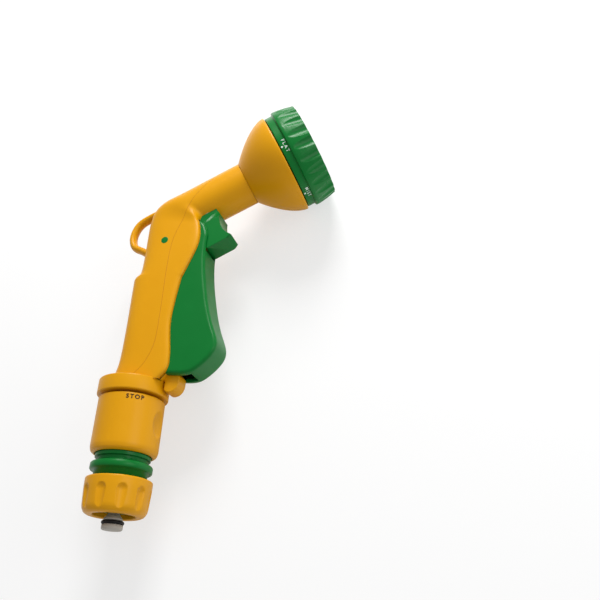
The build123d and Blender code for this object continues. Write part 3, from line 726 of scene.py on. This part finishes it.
    def parting_lines(self, shell: bpy.types.Object) -> bpy.types.Object:
        """The fine line that the mould leaves along each cheek and over the bend, laid on the shell."""
        knots = np.array([*self.crease_top, *self.crease])
        path = smooth_path(knots, np.linspace(0, len(knots) - 1, 160))
        shape = bmesh.new()
        shape.from_mesh(shell.data)
        tree = BVHTree.FromBMesh(shape)
        shape.free()
        sides = []
        for index, side in enumerate((1, -1)):
            height = np.full(len(path), side * 40.0)
            hits = [tree.ray_cast(Vector(point), Vector((0, 0, -side))) for point in to_row(path, height)]
            level = np.array([hit[0].z / MM if hit[0] else side * self.half + HOSE.origin[2] for hit in hits])
            sides.append(carried(f"line_{index}", path, 0.17, 0.14, (level - HOSE.origin[2] - side * 0.07)[:, None]))
        return joined("parting_lines", sides)

    def front_tab(self) -> bpy.types.Object:
        """The stop tab under the lever, with rounded edges."""
        return slab("front_tab_skin", rounded(self.tab, 0.9), self.tab_half, 0.5)

    def pin_heads(self) -> bpy.types.Object:
        """The two ends of the lever's hinge pin, flush with the cheeks."""
        turn = np.linspace(0, 2 * np.pi, 48, endpoint=False)
        disc = np.array(self.pin) + self.pin_radius * np.stack([np.cos(turn), np.sin(turn)], 1)
        return slab("pin_ends", disc, self.half + 0.05, 0.25)

    def build(self) -> None:
        """Makes and installs the handle and its trim."""
        shell = self.shell()
        lines = self.parting_lines(shell)
        self.shop.install(shell, Finish.YELLOW, "handle", "yellow_plastic", ["handle_body"])
        self.shop.install(self.hanging_eye(), Finish.YELLOW, "handle", "yellow_plastic")
        self.shop.install(self.front_tab(), Finish.YELLOW, "handle", "yellow_plastic")
        # The parting-line ridge is dressed in the darker yellow, which is painted shade of the crease.
        self.shop.install(lines, Finish.PAINTED_SHADE_LINE, "handle", "yellow_plastic")
        self.shop.install(self.pin_heads(), Finish.GREEN, "handle", "green_plastic", ["lever_pin"])


@dataclass
class Skins:
    """Smooth copies of CAD nodes whose faceted meshes would show."""

    shop: Workshop
    copies: dict = field(default_factory=lambda: {
        "trigger_lever": (Finish.GREEN, "lever", "green_plastic"),
        "finger_pull": (Finish.GREEN, "pull", "green_plastic"),
        "connector_body": (Finish.GREEN, "connector", "green_plastic"),
        "stop_plunger": (Finish.GREY, "plunger", "pale_plastic"),
        "plunger_o_ring": (Finish.RUBBER, "plunger", "black_rubber"),
        "face_plate": (Finish.FACE, "dial", "dark_green_plastic"),
    })
    merge: float = 0.002
    crease: float = 32.0
    saddle_span: tuple = (22.7, 36.4)
    saddle_half: float = 6.6
    saddle_radius: float = 12.95

    def copy(self, node: str) -> bpy.types.Object:
        """A copy of the node with its triangles joined and its sharp edges marked by angle."""
        mesh = frame["nodes"][node].data.copy()
        work = bmesh.new()
        work.from_mesh(mesh)
        bmesh.ops.remove_doubles(work, verts=work.verts, dist=self.merge * MM)
        work.to_mesh(mesh)
        work.free()
        mesh.shade_smooth()
        mesh.set_sharp_from_angle(angle=math.radians(self.crease))
        mesh.name = node + "_skin"
        piece = bpy.data.objects.new(node + "_skin", mesh)
        bpy.context.scene.collection.objects.link(piece)
        return piece

    def saddle(self) -> bpy.types.Object:
        """The top of the finger pull, hollowed round the neck.

        At a distance z from the middle plane it reaches sqrt(r^2 - z^2) below the neck's axis.
        """
        start, end = self.saddle_span
        across = np.linspace(-self.saddle_half, self.saddle_half, 25)
        roof = np.sqrt(self.saddle_radius ** 2 - across ** 2)
        across = np.append(across, [self.saddle_half, -self.saddle_half])
        depth = np.append(roof, [self.saddle_radius + 0.4] * 2)
        along, below = HEAD.along[:2], np.array([HEAD.along[1], -HEAD.along[0]])
        root = (HEAD.origin - HOSE.origin)[:2]
        rings = []
        for place, size in ((start, 1e-3), (start, 1.0), (end, 1.0), (end, 1e-3)):
            deep = depth.mean() + (depth - depth.mean()) * size
            rings.append(to_row(root + along * place + below * deep[:, None], across * size))
        index = np.arange(len(rings) * len(across)).reshape(len(rings), -1)
        quads = np.concatenate([strip_faces(index[row], index[row + 1]) for row in range(len(rings) - 1)])
        return mesh_object("pull_saddle", np.concatenate(rings), quads)

    def build(self) -> None:
        """Copies and installs each of them."""
        self.shop.install(self.saddle(), Finish.GREEN, "pull", "green_plastic")
        for node, (finish, body, slot) in self.copies.items():
            self.shop.install(self.copy(node), finish, body, slot, [node])


@dataclass(frozen=True)
class Label:
    """A printed word or dot on a round surface.

    Attributes:
        name: name of the piece.
        text: the letters, or nothing for a dot.
        angle: middle of the print in degrees.
        height: middle of the print along the axis.
        size: height of the letters.
        radius: of the surface under it.
        spacing: share of the normal space between letters.
        stroke: how much fatter than normal the strokes are.
    """

    name: str
    text: str
    angle: float
    height: float
    size: float
    radius: float
    spacing: float = 1.5
    stroke: float = 0.012


class Printing:
    """The plain words printed on the sleeve and on the dial."""

    LIFT = 0.06
    DOT_SIDES = 20

    def __init__(self, shop: Workshop) -> None:
        """Keeps the workshop that the prints are dressed in."""
        self.shop = shop

    def flat_shape(self, label: Label) -> tuple[np.ndarray, list]:
        """The label as flat points in millimetres, centred, and its faces."""
        if not label.text:
            turn = np.linspace(0, 2 * np.pi, self.DOT_SIDES, endpoint=False)
            return np.stack([np.cos(turn), np.sin(turn)], 1) * label.size / 2, [tuple(range(self.DOT_SIDES))]
        curve = bpy.data.curves.new(label.name, "FONT")
        curve.body = label.text
        curve.size = 1.0
        curve.offset = label.stroke
        curve.space_character = label.spacing
        curve.resolution_u = 3
        writer = bpy.data.objects.new(label.name, curve)
        bpy.context.scene.collection.objects.link(writer)
        bpy.context.view_layer.update()
        mesh = bpy.data.meshes.new_from_object(writer)
        flat = np.zeros(len(mesh.vertices) * 3)
        mesh.vertices.foreach_get("co", flat)
        faces = [tuple(face.vertices) for face in mesh.polygons]
        bpy.data.objects.remove(writer)
        flat = flat.reshape(-1, 3)[:, :2]
        low, high = flat.min(0), flat.max(0)
        return (flat - (low + high) / 2) * label.size / (high[1] - low[1]), faces

    def wrap(self, label: Label, axis: Axis, upright: float) -> bpy.types.Object:
        """Rolls the flat label on a cylinder: angle = x / radius, height = y.

        Args:
            label: the label.
            axis: axis of the surface.
            upright: 1 where the letters' tops point along the axis, -1 where they point back.
        """
        flat, faces = self.flat_shape(label)
        radius = label.radius + self.LIFT
        angle = math.radians(label.angle) + upright * flat[:, 0] / radius
        points = axis.points(np.full(len(flat), radius), angle, label.height + upright * flat[:, 1])
        mesh = bpy.data.meshes.new(label.name)
        mesh.from_pydata(points, [], faces)
        outward = np.array(mesh.polygons[0].normal) @ (points[0] - axis.points(
            np.zeros(1), np.zeros(1), np.full(1, label.height))[0])
        if outward < 0:
            mesh.flip_normals()
        piece = bpy.data.objects.new(label.name, mesh)
        bpy.context.scene.collection.objects.link(piece)
        return piece

    def build(self) -> None:
        """Prints STOP on the sleeve, and the dial's words with a dot behind each."""
        stop = Label("stop_print", "STOP", 33.5, 60.8, 2.4, 17.2, 1.35, 0.035)
        self.shop.install(self.wrap(stop, HOSE, 1.0), Finish.DARK_INK, "sleeve", "black_rubber")
        for word, angle in (("FLAT", 22.0), ("MIST", 85.0)):
            name = word.lower()
            text = Label(f"{name}_print", word, angle, 87.4, 1.9, 28.0)
            dot = Label(f"{name}_dot", "", angle, 85.3, 1.1, 28.0)
            self.shop.install(self.wrap(text, HEAD, 1.0), Finish.WHITE_INK, "dial", "pale_plastic")
            self.shop.install(self.wrap(dot, HEAD, 1.0), Finish.WHITE_INK, "dial", "pale_plastic")


class Insides:
    """The CAD nodes that stay as they are, and their finishes."""

    FINISHES = {
        "yellow_plastic": Finish.YELLOW, "green_plastic": Finish.GREEN, "dark_green_plastic": Finish.FACE,
        "pale_plastic": Finish.GREY, "black_rubber": Finish.RUBBER, "steel": Finish.STEEL,
        "brass": Finish.BRASS,
    }

    def __init__(self, shop: Workshop) -> None:
        """Keeps the workshop that the nodes are dressed in."""
        self.shop = shop

    def build(self) -> None:
        """Dresses every CAD node by its material slot."""
        for part in frame["record"]["subparts"]:
            self.shop.dress(frame["nodes"][part["node"]], self.FINISHES[part["material_slot"]])


# ---- stage -------------------------------------------------------------------------------
class Studio:
    """A pale floor, soft light from the upper left and the camera."""

    CAMERA_POINT = (185.2, -51.5, 323.6)
    RIGHT = (0.9639, 0.0508, -0.2612)
    UP = (0.0723, 0.8947, 0.4408)
    LENS = 42.96
    FLOOR_SIDE = 4.0
    FLOOR_DROP = 0.1
    WORLD = 0.47
    LAMPS = (("key", (120.0, 700.0, 420.0), 0.3, 5.0), ("fill", (620.0, 120.0, 420.0), 0.4, 1.1))

    def floor(self) -> None:
        """A white floor that keeps the shadow but clears to white for the camera."""
        side = self.FLOOR_SIDE / 2
        level = -self.FLOOR_DROP * MM
        corners = [(-side, -side, level), (side, -side, level), (side, side, level), (-side, side, level)]
        mesh = bpy.data.meshes.new("floor")
        mesh.from_pydata(corners, [], [(0, 1, 2, 3)])
        graph = Graph("floor_paper")
        seen = graph.node("ShaderNodeLightPath", None, None, "Is Camera Ray")
        paper = graph.node("ShaderNodeBsdfDiffuse", None, {"Color": (0.93, 0.93, 0.93, 1)})
        glow = graph.node("ShaderNodeEmission", None, {"Color": (1, 1, 1, 1), "Strength": 1.0})
        mixed = graph.node("ShaderNodeMixShader", None, {0: seen * 0.62, 1: paper, 2: glow})
        mesh.materials.append(graph.finish(mixed))
        floor = bpy.data.objects.new("floor", mesh)
        bpy.context.scene.collection.objects.link(floor)

    def lights(self) -> None:
        """Two soft lamps and an even sky."""
        world = bpy.data.worlds.new("sky")
        world.use_nodes = True
        sky = world.node_tree.nodes["Background"]
        sky.inputs["Color"].default_value = (1, 1, 1, 1)
        sky.inputs["Strength"].default_value = self.WORLD
        bpy.context.scene.world = world
        target = model_point(40, 120, 0)
        for name, place, size, power in self.LAMPS:
            lamp = bpy.data.lights.new(name, "AREA")
            lamp.size = size
            lamp.energy = power
            holder = bpy.data.objects.new(name, lamp)
            point = model_point(*place)
            back = (point - target) / np.linalg.norm(point - target)
            right = np.cross((0, 1, 0), back)
            right /= np.linalg.norm(right)
            holder.matrix_world = self.pose(right, np.cross(back, right), point)
            bpy.context.scene.collection.objects.link(holder)

    @staticmethod
    def pose(right: Iterable[float], up: Iterable[float], point: np.ndarray) -> Matrix:
        """The matrix of an object that looks along minus its own Z."""
        columns = np.eye(4)
        columns[:3, 0] = right
        columns[:3, 1] = up
        columns[:3, 2] = np.cross(columns[:3, 0], columns[:3, 1])
        columns[:3, 3] = point
        return Matrix(columns.tolist())

    def camera(self) -> None:
        """The camera, above the side of the handle and a little behind the hose end."""
        lens = bpy.data.cameras.new("camera")
        lens.lens = self.LENS
        lens.sensor_width = 36.0
        lens.clip_start = 0.01
        holder = bpy.data.objects.new("camera", lens)
        holder.matrix_world = self.pose(self.RIGHT, self.UP, model_point(*self.CAMERA_POINT))
        bpy.context.scene.collection.objects.link(holder)
        bpy.context.scene.camera = holder

    def build(self) -> None:
        """Sets up the stage."""
        bpy.context.scene.view_settings.view_transform = "Standard"
        self.camera()
        self.lights()
        self.floor()


def main() -> None:
    """Builds every group in order."""
    logging.basicConfig(level=logging.INFO, format="%(name)s: %(message)s")
    shop = Workshop()
    Studio().build()
    Insides(shop).build()
    HandleShell(shop).build()
    SprayHead(shop).build()
    Connector(shop).build()
    Skins(shop).build()
    Printing(shop).build()


if __name__ == "__main__":
    main()
